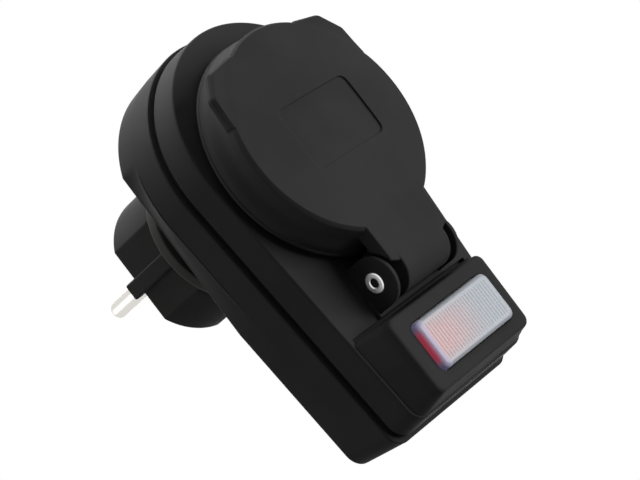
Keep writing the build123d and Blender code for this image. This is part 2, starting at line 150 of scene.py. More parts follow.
def arc(cx, cy, r, start, end, count=7):
    """Points on a circle from one angle to another, in degrees, as (x, y) pairs."""
    a = np.radians(np.linspace(start, end, count))
    return np.stack([cx + r * np.cos(a), cy + r * np.sin(a)], axis=1)


def inset(loop, distance):
    """An anticlockwise loop moved inward: each point goes along the mitre of its two sides."""
    loop = np.asarray(loop, float)
    ahead, behind = np.roll(loop, -1, 0) - loop, loop - np.roll(loop, 1, 0)
    ahead /= np.linalg.norm(ahead, axis=1, keepdims=True)
    behind /= np.linalg.norm(behind, axis=1, keepdims=True)
    first = np.stack([-ahead[:, 1], ahead[:, 0]], axis=1)
    second = np.stack([-behind[:, 1], behind[:, 0]], axis=1)
    mitre = (first + second) / (1 + (first * second).sum(1, keepdims=True)).clip(0.4)
    return loop + mitre * distance


def rounded(corners, radius, count=5):
    """A polygon whose corners are replaced by short curves that start a radius away."""
    corners = np.asarray(corners, float)
    loop = []
    for before, here, after in zip(np.roll(corners, 1, 0), corners, np.roll(corners, -1, 0)):
        first = here + (before - here) * min(0.45, radius / np.linalg.norm(before - here))
        last = here + (after - here) * min(0.45, radius / np.linalg.norm(after - here))
        t = np.linspace(0, 1, count)[:, None]
        loop.append((1 - t) ** 2 * first + 2 * t * (1 - t) * here + t ** 2 * last)
    return np.concatenate(loop)


def prism(loop, low, high, edge):
    """A loop in x and z raised from one depth to another, with a rounded upper edge."""
    rows = [place(loop[:, 0], low, loop[:, 1])]
    for a in np.radians(np.linspace(0, 90, 5)):
        q = inset(loop, edge * (1 - cos(a)))
        rows.append(place(q[:, 0], high - edge * (1 - sin(a)), q[:, 1]))
    return np.stack(rows)


print("helpers ready")

# %% [markdown]
# ## The body's outline
# Seen from the front the body is a round head whose sides close in towards a rounded end.
# Every level of the body uses the same number of points on each stretch of that outline, so
# that loops of different size still match point for point. The rear cover also has a flat
# facet on each side, and a blend from arc to chord makes it.

# %% Outline of the covers
def outline(radius, top, corner=4.5, chord=0.0, bead=0.0):
    """The closed outline as x and z.

    Half of it runs from the bottom of the head arc through the side, the corner arc and half
    of the end, and the other half is its mirror. Where chord is 1, a straight line takes the
    place of the side between two heights, and bead pushes that stretch out by a little.
    """
    low_z, high_z = -19.0, 25.0
    low_a = asin((low_z - HEAD_Z) / radius)
    high_x = radius / cos(TAPER) - (high_z - HEAD_Z) * tan(TAPER)
    end_x = radius / cos(TAPER) - (top - HEAD_Z) * tan(TAPER)
    head = arc(0, HEAD_Z, radius, -90, np.degrees(low_a), 30)
    side = arc(0, HEAD_Z, radius, np.degrees(low_a), np.degrees(TAPER), 20)[1:]
    upper = np.linspace(side[-1], (high_x, high_z), 16)[1:]
    bulge = np.concatenate([side, upper])
    t = np.linspace(0, 1, len(bulge) + 1)[1:, None]
    straight = head[-1] * (1 - t) + np.array([high_x, high_z]) * t
    flank = bulge * (1 - chord) + straight * chord
    flank[:, 0] += bead * np.minimum(1, 6 * t[:, 0]) * np.minimum(1, 6 * (1 - t[:, 0]))
    centre_x = end_x + corner * tan(TAPER) - corner / cos(TAPER)
    bend = arc(centre_x, top - corner, corner, np.degrees(TAPER), 90, 14)
    rise = np.linspace(flank[-1], bend[0], 30)[1:-1]
    end = np.linspace(bend[-1], (0, top), 12)[1:]
    half = np.concatenate([head, flank, rise, bend, end])
    return np.concatenate([half, half[-2:0:-1] * [-1, 1]])


def level(depth, radius, top, corner=4.5, chord=0.0, bead=0.0):
    """The outline at one depth, as points."""
    xz = outline(radius, top, corner, chord, bead)
    return place(xz[:, 0], depth, xz[:, 1])


print("outline of", len(outline(REAR_R, REAR_TOP)), "points")

# %% [markdown]
# ## Rear cover
# The rear cover is a deep tub that carries the plug on a short neck, with four screws sunk in
# its back. It could be one solid cut with holes, but the holes would leave rough triangles
# round their rims. Here the flat back is a plate with round holes, and each screw hole is a
# short tube of its own. A fine bead runs along the crease where the flat facet begins.

# %% Rear cover
SCREWS = [(-18.0, -21.0), (18.0, -21.0), (-17.5, 57.5), (17.5, 57.5)]
SCREW_HOLE = [(2.65, REAR), (2.45, REAR + 0.2), (2.45, 31.6), (0.01, 31.6)]
NECK_FOOT, FOOT_R, BACK_EDGE = 17.4, 0.8, 0.95
# Along the crease: distance behind it, height of the bead, share of the facet's chord
BEAD = [(-0.3, 0.0, 0.0), (-0.15, 0.09, 0.0), (0.0, 0.2, 0.0), (0.15, 0.15, 0.01),
        (0.3, 0.0, 0.03), (0.6, 0.0, 0.08)]


def circle_at(x, z, radius, depth, count=32):
    """A circle square to Y about any point: the centre plus radius times cosine and sine."""
    a = np.arange(count) * 2 * pi / count
    return place(x + radius * np.cos(a), depth, z + radius * np.sin(a))


def round_stack(x, z, profile, count=32):
    """Circles about a line along Y, one for each (radius, depth) pair."""
    return np.stack([circle_at(x, z, r, d, count) for r, d in profile])


def end_at(depth):
    """Height of the rear cover's end wall: it rises evenly from the back to the seam."""
    return BACK_TOP + (depth - REAR) * (REAR_TOP - BACK_TOP) / (SEAM_REAR - REAR)


def rear_levels():
    """Loops from the inner lip over the seam, along the side to the facet and round the back."""
    yield level(REAR_INSIDE, REAR_R - 2.6, 63.0, 3.5, 1.0)
    yield level(CREASE, REAR_R - 2.3, 63.4, 3.5)
    yield level(SEAM_REAR, REAR_R - 2.0, 64.3, 3.5)
    for less, back in ((0.7, 0.0), (0.35, 0.0), (0.12, 0.1), (0.0, 0.35)):
        yield level(SEAM_REAR - back, REAR_R - less, REAR_TOP - less)
    for depth in np.linspace(SEAM_REAR - 0.8, CREASE + 0.3, 6):  # the side leans in by 0.2
        yield level(depth, REAR_R - 0.2 * (SEAM_REAR - depth) / 8.7, end_at(depth))
    for back, bead, share in BEAD:
        radius = REAR_R - 0.2 - 0.06 * (back + 0.3)
        yield level(CREASE - back, radius, end_at(CREASE - back), 4.5, share, bead)
    for depth in np.linspace(CREASE - 1.2, REAR + 1.0, 6):
        share = (CREASE - depth) / (CREASE - REAR - 1.0)
        yield level(depth, REAR_R - 0.2 - 0.4 * share, end_at(depth), 4.5, share)
    for angle in np.radians(np.linspace(15, 90, 6)):
        less = BACK_EDGE * (1 - cos(angle))
        depth = REAR + BACK_EDGE * (1 - sin(angle))
        yield level(depth, REAR_R - 0.6 - less, BACK_TOP + 0.05 - less, 4.3, 1.0)


rear = np.stack(list(rear_levels()))
neck = list(arc(NECK_FOOT, REAR - FOOT_R, FOOT_R, 90, 180, 6)) + [
    (16.6, 21.0), (16.6, 20.4), (16.35, 20.15), (15.0, 20.1), (NECK_BORE, 20.1),
    (NECK_BORE, REAR_INSIDE)]
screw_holes = [round_stack(x, z, SCREW_HOLE) for x, z in SCREWS]
rear_cover = make_piece(
    "rear_cover_shell", [rear, turned(neck)] + screw_holes,
    plates=[[rear[-1], ring(NECK_FOOT, REAR)] + [hole[0] for hole in screw_holes],
            [rear[0], ring(NECK_BORE, REAR_INSIDE)]],
    nodes=["rear_cover"])

# %% [markdown]
# ## Front cover
# The front cover is shallow. Its flat face has a round collar for the socket, a trough for the
# hinge barrel and a fine groove at the foot of the switch block. Booleans could cut them, but
# would spoil the even shading of the face. So each is a hole in one flat plate, with its own
# small wall below or above it.

# %% Front cover
LEAN_R, LEAN_TOP, FACE_EDGE = 0.35, 0.85, 0.5
COLLAR_FOOT, COLLAR_TOP, TROUGH_X, TROUGH_STEPS = 24.4, 61.0, 11.35, 25


def bar_loop(x0, x1, z0, z1, depth, steps=24):
    """A rectangle square to Y, walked round with the same number of points on each long side."""
    x = np.linspace(x0, x1, steps)
    low, high = np.full(steps, z0), np.full(steps, z1)
    return place(np.concatenate([x, x[::-1]]), depth, np.concatenate([low, high]))


def dug(z, centre_depth, centre_z, radius):
    """Depth of a round trough's floor: its axis less the circle's height over each z."""
    return centre_depth - np.sqrt((radius ** 2 - (z - centre_z) ** 2).clip(0))


def front_levels():
    """Loops from the inner lip over the seam, up the side and round the edge of the face."""
    yield level(FRONT_INSIDE, FRONT_R - 2.2, 62.7, 3.5)
    yield level(SEAM_FRONT, FRONT_R - 2.0, 63.3, 3.5)
    for less, up in ((0.7, 0.0), (0.3, 0.0), (0.1, 0.08), (0.0, 0.3)):
        yield level(SEAM_FRONT + up, FRONT_R - less, FRONT_TOP - less)
    for depth in np.linspace(SEAM_FRONT + 0.8, FACE - 0.6, 6):
        share = (depth - SEAM_FRONT) / (FACE - SEAM_FRONT)
        yield level(depth, FRONT_R - LEAN_R * share, FRONT_TOP - LEAN_TOP * share)
    for angle in np.radians(np.linspace(15, 90, 6)):
        less = FACE_EDGE * (1 - cos(angle))
        depth = FACE - FACE_EDGE * (1 - sin(angle))
        yield level(depth, FRONT_R - LEAN_R - less, FRONT_TOP - LEAN_TOP - less)


front = np.stack(list(front_levels()))
collar = turned([
    (COLLAR_FOOT, FACE), (24.1, FACE + 0.1), (24.0, FACE + 0.4), (24.0, 60.7), (23.8, 60.95),
    (23.5, COLLAR_TOP), (COLLAR_BORE, COLLAR_TOP), (COLLAR_BORE, FRONT_INSIDE)])
trough_z = np.linspace(30.86, 38.55, TROUGH_STEPS)
deep = np.minimum(dug(trough_z, HINGE_DEPTH, HINGE_Z, 6.5), dug(trough_z, 59.63, 35.3, 6.6))
deep[[0, -1]] = FACE
trough_x = np.repeat([-TROUGH_X, TROUGH_X], TROUGH_STEPS)
trough_loop = np.concatenate([trough_z, trough_z[::-1]])
trough_rim = place(trough_x, FACE, trough_loop)
trough_edge = place(trough_x, np.concatenate([deep, deep[::-1]]), trough_loop)
trough_floor = np.stack([place(x, deep, trough_z) for x in (-TROUGH_X, TROUGH_X)])
foot_groove = np.stack([bar_loop(-21.9, 23.3, 41.3, 42.1, FACE),
                        bar_loop(-21.8, 23.2, 41.35, 42.05, 52.4)])
front_cover = make_piece(
    "front_cover_shell", [front, collar, foot_groove, np.stack([trough_rim, trough_edge])],
    plates=[[front[-1], ring(COLLAR_FOOT, FACE), foot_groove[0], trough_rim],
            [foot_groove[1]], [front[0], ring(COLLAR_BORE, FRONT_INSIDE)]],
    sheets=[trough_floor],
    nodes=["front_cover"])

# %% [markdown]
# ## Switch block
# The block is a low frustum: a four-sided base with rounded corners that leans in to a smaller
# flat top, with a rounded window for the rubber cap. A bevelled box could give the same form.
# Loops are used instead, because they share their corner arcs from the base to the window and
# so the slopes stay true planes. Window and cap sit a little to the far side of the middle, and
# the far edge of the top stands out a little more, as the photo shows them.

# %% Switch block
def rounded_quad(half_low, half_high, low, high, radius, upper=None, count=9, side=12):
    """A four-sided outline in x and z with corner arcs, walked anticlockwise.

    Each corner's arc is centred where two lines parallel to the sides, a radius inside,
    would cross. The sides between arcs are divided evenly. upper is the radius of the two
    upper corners, where it differs.
    """
    upper = radius if upper is None else upper
    lean = (half_low - half_high) / (high - low)
    steep, tilt = sqrt(1 + lean ** 2), np.degrees(np.arctan(lean))
    right_low = arc(half_low - lean * radius - radius * steep, low + radius, radius,
                    -90, tilt, count)
    right_high = arc(half_high + lean * upper - upper * steep, high - upper, upper,
                     tilt, 90, count)
    left_high, left_low = right_high[::-1] * [-1, 1], right_low[::-1] * [-1, 1]
    runs = [right_low, right_high, left_high, left_low]
    loop = []
    for here, there in zip(runs, runs[1:] + runs[:1]):
        loop += [here, np.linspace(here[-1], there[0], side)[1:-1]]
    return np.concatenate(loop)


BLOCK_FOOT, BLOCK_TOP, EDGE_DROP, EDGE_TURN = 53.7, 60.8, 0.85, 75
# Half width at the low and the high side, those two heights and the two corner radii
TOP = np.array([18.2, 17.8, 43.25, 61.75, 1.7, 1.7])
SHOULDER = np.array([19.1, 18.7, 42.65, 62.5, 2.0, 2.2])
BASE = np.array([24.25, 22.0, 42.15, 64.0, 1.2, 3.6])


def block_levels():
    """Loops from inside the cover up the window, over the top, down the slope to the foot."""
    yield BLOCK_FOOT, rounded_quad(21.8, 19.8, 44.2, 62.0, 2.0)
    yield 58.8, rounded_quad(17.4, 17.0, 44.6, 60.5, 1.4)
    for depth, half, low, high, radius in (
            (58.8, 14.6, 46.4, 59.1, 1.8), (60.45, 14.6, 46.4, 59.1, 1.8),
            (60.7, 14.75, 46.25, 59.25, 1.9), (BLOCK_TOP, 15.05, 45.95, 59.55, 2.1)):
        yield depth, rounded_quad(half, half, low, high, radius) + [CAP_X, 0.0]
    yield BLOCK_TOP, rounded_quad(17.9, 17.5, 43.6, 61.4, 1.7)
    for angle in np.radians(np.linspace(15, EDGE_TURN, 6)):
        share = sin(angle) / sin(radians(EDGE_TURN))
        drop = EDGE_DROP * (1 - cos(angle)) / (1 - cos(radians(EDGE_TURN)))
        yield BLOCK_TOP - drop, rounded_quad(*(TOP + (SHOULDER - TOP) * share))
    for share in (0.25, 0.5, 0.75, 0.93, 1.0):
        yield 59.95 - 6.0 * share, rounded_quad(*(SHOULDER + (BASE - SHOULDER) * share))
    yield BLOCK_FOOT, rounded_quad(*(BASE + 0.03))


def far_side_out(depth, xz):
    """Near the top, points move out on the far side by up to 0.7 mm, evenly from the middle."""
    share = (-xz[:, 0] / 17).clip(0, 1) * (depth > 59)
    return place(xz[:, 0] - 0.7 * share, depth, xz[:, 1])


block = np.stack([far_side_out(depth, xz) for depth, xz in block_levels()])
block = np.concatenate([block, block[:1]])
switch_block = make_piece("switch_block_shell", [block], nodes=["front_cover"])

# %% [markdown]
# ## Hinge lugs, and a profile carried along X
# The lugs, the ledge and the lid's tongue all have a side view that runs straight across the
# part. One helper carries such a profile along X, pulls it in a little at both ends for a
# rounded edge, and closes the ends. Its half-length may change along the profile, which gives
# the tongue its taper.

# %% Profile carried along X
def carried(profile, half, edge=0.4, centre=0.0):
    """A side view of (depth, z) pairs, walked anticlockwise, carried from -half to half in x.

    Each end loop moves inward along the profile's own normals by the edge radius, on a
    quarter circle. One more loop inside each end keeps the wide faces flat. half is a number
    or one number per profile point.
    """
    p = np.asarray(profile, float)
    loops = [(inset(p, 1.6 * edge), 0.0)]
    for a in np.radians([90, 67, 45, 22, 0]):
        loops.append((inset(p, edge * (1 - cos(a))), edge * (1 - sin(a))))
    loops.append((p, 1.4 * edge))
    stack = [place(centre - (half - back), q[:, 0], q[:, 1]) for q, back in loops]
    stack += [place(centre + (half - back), q[:, 0], q[:, 1]) for q, back in loops[::-1]]
    return np.stack(stack)


def closed_ends(band):
    """A band with a last, flat loop at each end that shrinks to its middle."""
    points = band.shape[1]
    first = np.repeat(band[:1].mean(1, keepdims=True), points, 1)
    last = np.repeat(band[-1:].mean(1, keepdims=True), points, 1)
    return np.concatenate([first, band, last])


LUG_X, LUG_R, LUG_HALF, LUG_FOOT = 12.0, 6.1, 0.6, 53.6
lug_side = np.concatenate([
    arc(HINGE_DEPTH, HINGE_Z, LUG_R, -90, 90, 40),
    [(57.5, HINGE_Z + LUG_R), (55.6, HINGE_Z + LUG_R), (LUG_FOOT, HINGE_Z + 6.4),
     (LUG_FOOT, HINGE_Z), (LUG_FOOT, HINGE_Z - 6.4), (55.6, HINGE_Z - LUG_R),
     (57.5, HINGE_Z - LUG_R)]])
lug_bands = [closed_ends(carried(lug_side, LUG_HALF, 0.3, x)) for x in (-LUG_X, LUG_X)]
hinge_lugs = make_piece("hinge_lugs", lug_bands, nodes=["front_cover"])
ledge_plan = [(-13.0, 41.3), (-13.0, 37.1), (-11.45, 37.1), (-11.45, 40.05),
              (11.45, 40.05), (11.45, 37.1), (13.0, 37.1), (13.0, 41.3)]
ledge_band = prism(rounded(ledge_plan, 0.3, 3), 53.5, 55.0, 0.25)
ledge = make_piece("hinge_ledge", [ledge_band], plates=[[ledge_band[-1]], [ledge_band[0]]],
                   nodes=["front_cover"])

# %% [markdown]
# ## Hinge pin
# The pin is a short chromed tube. A plain cylinder would look dull at its end, because the eye
# is caught there by a bright ring round a dark bore. A turned profile with small rounded lips
# gives both.

# %% Hinge pin
# Radius and x, from the middle over the outer lip and back through the bore
tube_half = np.array([
    (2.5, 0.0), (2.5, 12.3), (2.49, 12.66), (2.44, 12.77), (2.34, 12.83), (2.22, 12.85),
    (2.1, 12.85), (1.5, 12.85), (1.36, 12.85), (1.26, 12.82), (1.16, 12.72), (1.1, 12.5),
    (1.1, 12.2), (1.1, 0.0)])
tube_full = np.concatenate([tube_half, tube_half[::-1][1:] * [1, -1]])
turn = np.arange(48) * 2 * pi / 48
tube = np.stack([place(x, HINGE_DEPTH + r * np.cos(turn), HINGE_Z + r * np.sin(turn))
                 for r, x in tube_full])
hinge_pin = make_piece("hinge_pin_tube", [tube], nodes=["hinge_pin"])

# %% [markdown]
# ## Lid
# The lid is a shallow crowned cap. Two finger tabs stick out of its rim like the corners of a
# square, and a shallow panel is sunk into its face. All loops share the same rays. They follow
# circles at the rim, step out to the tabs' outline above the tabs' underside, and turn into
# rounded rectangles at the panel. Separate tabs would be simpler to build, but would show a
# seam, and here they grow out of the face.

# %% Lid
RAYS = 960
DOME_TOP, DOME_FALL, TONGUE_TOP, TAB_TOP, TAB_ANGLE = 67.6, 1.45, 66.3, 65.9, 42.5
angle = np.arange(RAYS) * 2 * pi / RAYS
ray_x, ray_z = np.cos(angle), np.sin(angle)


def reach(corners):
    """How far each ray goes before it leaves the shape with these corners, by edge crossing."""
    corners = np.asarray(corners, float)
    edge = np.roll(corners, -1, 0) - corners
    bottom = ray_x[:, None] * edge[None, :, 1] - ray_z[:, None] * edge[None, :, 0]
    bottom = np.where(np.abs(bottom) < 1e-12, 1e-12, bottom)
    t = (corners[:, 0] * edge[:, 1] - corners[:, 1] * edge[:, 0])[None, :] / bottom
    s = (corners[:, 0] * ray_z[:, None] - corners[:, 1] * ray_x[:, None]) / bottom
    hit = (s >= -1e-9) & (s <= 1 + 1e-9) & (t > 0)
    return np.where(hit, t, 0).max(axis=1)


def smooth(value, low, high):
    """A soft step from 0 to 1 as the value goes from low to high."""
    t = ((value - low) / (high - low)).clip(0, 1)
    return t * t * (3 - 2 * t)


def tongue_top(z):
    """Depth of the tongue's upper side: it falls softly from the lid to its flat end."""
    return TONGUE_TOP + 0.1 * (1 - smooth(np.asarray(z, float), 22, 31))


def crown(x, z):
    """Depth of the lid's face: a shallow dome that turns into the tongue and the flat tabs."""
    r = np.hypot(x, z)
    dome = DOME_TOP - DOME_FALL * (r / 26.4) ** 2
    to_tongue = smooth(z, 11, 25) * (1 - smooth(np.abs(x), 11.4, 21))
    off_tab = np.abs(np.degrees(np.arctan2(-z, np.abs(x))) - TAB_ANGLE)
    to_tab = smooth(r, 25.0, 28.2) * (1 - smooth(off_tab, 20, 25))
    return dome + (tongue_top(z) - dome) * to_tongue + (TAB_TOP - dome) * to_tab


def rayed(radius, depth):
    """A loop whose points lie on the rays, at a radius and depth that may change round it."""
    return place(radius * ray_x, depth, radius * ray_z)


def on_face(radius, sunk=0.0):
    """A loop on the lid's face: the crown's depth above each of its points, less a drop."""
    return rayed(radius, crown(radius * ray_x, radius * ray_z) - sunk)


def panel_radius(half_x, half_z, bend):
    """Where each ray meets a rounded rectangle, found from its polygon of sides and arcs."""
    return reach(rounded_quad(half_x, half_x, -half_z, half_z, bend))


EDGE, WALL, ROOF, FACE_R = 0.72, 26.9, 64.4, 24.2
# Radius and depth under the roof, then round the foot of the wall and up its flare
INSIDE = [(8, ROOF), (16, ROOF), (24.2, ROOF), (24.7, 64.2), (25.05, 63.8), (25.2, 63.3),
          (26.6, 56.0)]
FLARE = [(26.75, 55.84), (27.0, 55.8), (27.85, 55.8), (28.05, 55.86), (28.14, 56.05),
         (28.14, 56.5), (28.0, 56.7), (27.9, 56.8), (27.88, 57.2), (27.86, 58.0), (27.78, 58.7),
         (27.6, 59.3), (27.38, 60.0), (27.14, 60.7), (26.98, 61.3), (26.91, 62.0), (WALL, 62.8),
         (WALL, 63.5)]
# Half sizes, corner radius and drop, from the border into the sunk panel
PANEL = [(13.0, 8.4, 2.3, 0.0), (12.7, 8.1, 2.1, 0.0), (12.62, 8.02, 2.05, 0.05),
         (12.58, 7.98, 2.05, 0.4), (12.45, 7.85, 1.95, 0.5), (12.0, 7.4, 1.6, 0.52)]
tab_corners = rounded([(-5.0, -18.0), (12.3, -24.4), (20.3, -23.1), (24.4, -17.8), (25.2, -9.9),
                       (0, 0)], 0.6, 6)
tab_reach = np.maximum(reach(tab_corners), reach(tab_corners[::-1] * [-1, 1]))


def lid_levels():
    """Loops from the middle of the roof inside, over the rim, up the wall and in to the middle."""
    yield rayed(0.0, ROOF)
    for r, d in INSIDE + FLARE:
        yield rayed(r, d)
    wall = np.maximum(WALL, tab_reach)
    for back, d in ((0.3, 63.6), (0.1, 63.63), (0.0, 63.8), (0.0, 64.3), (0.0, 64.9)):
        yield rayed(np.maximum(WALL, wall - back), d)
    edge = wall - EDGE
    rim_depth = crown(edge * ray_x, edge * ray_z)
    for back, drop in ((0.0, 1.15), (0.01, 0.95), (0.06, 0.8), (0.15, 0.68), (0.55, 0.14),
                       (0.64, 0.05), (EDGE, 0.0)):
        yield rayed(wall - back, rim_depth - drop)
    for share in (0.04, 0.1, 0.2, 0.32, 0.46, 0.6, 0.74, 0.87, 1.0):
        yield on_face(edge * (1 - share) + FACE_R * share)
    border = panel_radius(13.6, 9.0, 2.6)
    for share in np.linspace(0, 1, 11)[1:-1]:
        yield on_face(FACE_R * (1 - share) + border * share)
    for half_x, half_z, bend, drop in PANEL:
        yield on_face(panel_radius(half_x, half_z, bend), drop)
    half_x, half_z, bend, drop = PANEL[-1]
    for share in (0.8, 0.6, 0.4, 0.2, 0.0):
        yield on_face(panel_radius(half_x, half_z, bend) * share, drop)


lid = make_piece("lid_shell", [np.stack(list(lid_levels()))], body="lid", sharp=40, nodes=["lid"])

# %% [markdown]
# ## Tongue and barrel
# A tongue leaves the lid flush with its face and curls round the hinge pin. Its two wings pass
# over the lugs with a little air, and its middle wraps the pin as a barrel. A lofted solid would
# need a boolean cut for the air. Two side views carried along X need none: they overlap inside
# each other, and the tongue's middle reaches a little further so that it meets the barrel.

# %% Tongue and barrel
WING_R, BARREL_R, BARREL_HALF = 6.45, 6.2, 8.6
top_z = np.array([22.4, 22.7, 23.0, 23.3, 23.6, 24.0, 25.0, 26.0, 27.0, 28.0, 29.0, 30.0, 31.0])
top_depth = tongue_top(top_z) - 0.004 - 0.07 * (1 - smooth(top_z, 22.4, 23.7))
top_line = np.stack([top_depth, top_z], axis=1)
under = np.radians(np.linspace(14, 60, 12))
wing_side = np.concatenate([
    top_line, [(66.29, 31.6), (66.24, 32.3), (66.05, 32.75), (65.8, 32.85)],
    np.stack([HINGE_DEPTH + WING_R * np.cos(under), HINGE_Z - WING_R * np.sin(under)], axis=1),
    [(62.4, 27.6), (62.4, 24.2), (64.0, 23.2)]])
wing_half = np.interp(wing_side[:, 1], [23.0, 33.0], [11.45, 11.2])
barrel_side = np.concatenate([
    top_line + [0.002, 0.0], [(66.31, 32.5)],
    arc(60.15, 33.9, BARREL_R, 0, 205, 60),
    [(57.5, 27.9), (59.2, 27.6), (60.6, 27.2), (61.6, 26.4), (62.0, 25.0)]])
wings = carried(wing_side, wing_half, 0.35)
inner = wings[6:8].copy()
inner[:, :, 0] = [[-8.5], [8.5]]
inner[:, :, 2] += 1.0 * smooth(inner[:, :, 2], 31.6, 32.8)
wings = np.concatenate([wings[:7], inner, wings[7:]])
tongue = make_piece(
    "lid_tongue", [closed_ends(wings), closed_ends(carried(barrel_side, BARREL_HALF, 0.4))],
    body="lid", sharp=42, nodes=["lid"])

# %% [markdown]
# ## Plug
# The plug head is a drum with a flat on each side and a guide rib on each flat. Its outline is
# the nearer of circle and flat along each ray, with the corners rounded, and slots for the
# earth contacts are cut by pulling the outline in over part of the depth. Pins, seal and neck
# are plain turned forms.

# %% Plug head, seal and pins
DRUM_R, FLAT, SHOULDER_DEPTH, DRUM_EDGE = 18.4, 15.5, 16.6, 0.9
SPIGOT_R, SLOT_HALF, SLOT_FLOOR = 14.3, 3.2, 16.6
PIN_WELL = [(2.45, 0.0), (2.45, 2.0), (0.01, 2.0)]


def drum(radius, flat, slots):
    """Reach of each ray: the circle, or the flat if that is nearer, or the floor of a slot."""
    r = np.minimum(radius, flat / np.maximum(np.abs(ray_x), 1e-6))
    r = np.convolve(np.concatenate([r[-2:], r, r[:2]]), np.ones(5) / 5, "valid")
    floor = SLOT_FLOOR / np.maximum(np.abs(ray_z), 1e-6)
    return np.where((np.abs(r * ray_x) < SLOT_HALF) & slots, np.minimum(r, floor), r)


def head_levels():
    """Loops from the spigot out over the rear shoulder, along the drum and round the face."""
    yield rayed(SPIGOT_R, 33.0)
    yield rayed(SPIGOT_R, SHOULDER_DEPTH)
    yield rayed(drum(17.8, 15.1, False), SHOULDER_DEPTH)
    yield rayed(drum(18.25, 15.4, False), 16.45)
    for depth in (16.1, 14.8, 13.42):
        yield rayed(drum(DRUM_R, FLAT, False), depth)
    for depth in (13.4, 9.0, 5.0, 1.0):
        yield rayed(drum(DRUM_R, FLAT, True), depth)
    for a in np.radians(np.linspace(20, 90, 5)):
        less = DRUM_EDGE * (1 - cos(a))
        yield rayed(drum(DRUM_R - less, FLAT - less, True), DRUM_EDGE * (1 - sin(a)))


def pill(x0, x1, z0, z1, depth0, depth1, edge, count=5):
    """A box with rounded edges along Y: a rounded rectangle whose ends pull in on an arc."""
    loops = []
    half_x, half_z = (x1 - x0) / 2, (z1 - z0) / 2
    for a in np.radians(np.linspace(90, 0, count)):
        loops.append((edge * (1 - cos(a)), depth0 + edge * (1 - sin(a))))
    loops += [(less, depth0 + depth1 - depth) for less, depth in loops[::-1]]
    band = []
    for less, depth in loops:
        xz = rounded_quad(half_x - less, half_x - less, -half_z + less, half_z - less, edge)
        band.append(place(xz[:, 0] + (x0 + x1) / 2, depth, xz[:, 1] + (z0 + z1) / 2))
    return closed_ends(np.stack(band))


head = np.stack(list(head_levels()))
pin_wells = [round_stack(x, 0, PIN_WELL) for x in (-PIN_X, PIN_X)]
guides = [pill(x0, x1, -2.1, 2.1, -2.5, 16.4, 0.5) for x0, x1 in ((14.4, 16.7), (-16.7, -14.4))]
plug_head = make_piece(
    "plug_head", [head] + pin_wells + guides,
    plates=[[head[-1]] + [well[0] for well in pin_wells], [head[0]]],
    sharp=40, nodes=["plug_body"])

seal_side = [(NECK_BORE, 16.62), (17.6, 16.62)] + list(arc(18.1, 17.52, 0.9, -90, 0, 7))
seal_side += [(19.0, 18.3)] + list(arc(18.5, 19.58, 0.5, 0, 90, 5))
seal_side += [(NECK_BORE, 20.08), (NECK_BORE, 16.62)]
seal = make_piece("plug_seal", [turned(seal_side)], nodes=["plug_seal_ring"])

pin_shape = [(0.001, 13.9), (PIN_R, 13.9), (PIN_R, -14.0), (PIN_R, -16.5)]
for a in np.radians(np.linspace(0, 90, 12)):
    pin_shape.append((max(PIN_R * cos(a), 0.001), -17.1 - 1.9 * sin(a)))
for name, x in (("left", -PIN_X), ("right", PIN_X)):
    make_piece(f"pin_{name}", [round_stack(x, 0, pin_shape, 40)],
               nodes=[f"plug_pin_{name}"])

# %% [markdown]
# ## Rubber cap over the switch
# The cap is milky silicone with a smooth border and fine ribs across its top. The ribs could be
# a bump in the finish, but they catch the light at the cap's edge, so the grooves are real. The
# border is wider at the lit end. The cap is one fixed piece: it belongs to no moving body, and
# its mesh is baked where it stands.

# %% Rubber cap
CAP_TOP, CAP_EDGE, CAP_HALF_X, CAP_HALF_Z, CAP_BEND = 62.5, 1.1, 14.39, 6.19, 1.8
GROOVE_AT, GROOVE_DEEP = 12.9, 0.09
# Depth, half sizes and corner radius of the flange and of the wall above it
CAP_WALL = [(57.5, 13.4, 5.6, 1.0), (57.5, 15.35, 7.35, 2.4), (58.7, 15.35, 7.35, 2.4),
            (58.72, 14.4, 6.2, CAP_BEND), (59.6, 14.4, 6.2, CAP_BEND),
            (60.5, 14.4, 6.2, CAP_BEND), (61.2, CAP_HALF_X, CAP_HALF_Z, CAP_BEND)]


def cap_levels():
    """Loops from the flange below the cover, up the wall, over the rounded edge to the border."""
    for depth, half_x, half_z, bend in CAP_WALL:
        yield depth, rounded_quad(half_x, half_x, -half_z, half_z, bend)
    for a in np.radians(np.linspace(10, 90, 8)):
        less = CAP_EDGE * (1 - cos(a))
        half_x, half_z = CAP_HALF_X - less, CAP_HALF_Z - less
        yield (CAP_TOP - CAP_EDGE * (1 - sin(a)),
               rounded_quad(half_x, half_x, -half_z, half_z, CAP_BEND - 0.4 * less))


def cap_top():
    """The ribbed field: the cap's top less a groove once per millimetre.

    A groove is a raised cosine to the fifth power, which makes it narrow. It fades softly
    towards both long sides and is left out at the field's rim.
    """
    x, z = np.meshgrid(np.linspace(-13.3, 11.5, 305), np.linspace(-5.0, 5.0, 41), indexing="ij")
    cut = (0.5 + 0.5 * np.cos(2 * pi * (x + GROOVE_AT))) ** 5
    inside = ((4.9 - np.abs(z)) / 0.35).clip(0, 1) * ((x > -13.2) & (x < 11.4))
    drop = GROOVE_DEEP * cut * inside * inside * (3 - 2 * inside)
    return place(x, CAP_TOP - drop, z + SWITCH_Z)


cap = np.stack([place(xz[:, 0] + CAP_X, depth, xz[:, 1] + SWITCH_Z) for depth, xz in cap_levels()])
ribs = cap_top()
ribs_rim = np.concatenate([ribs[:-1, 0], ribs[-1, :-1], ribs[:0:-1, -1], ribs[0, :0:-1]])
rubber_cap = make_piece(
    "switch_cap_skin", [cap], plates=[[cap[-1], ribs_rim], [cap[0]]], sheets=[ribs],
    body=None, nodes=["switch_cap"], sharp=60)
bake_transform(rubber_cap)

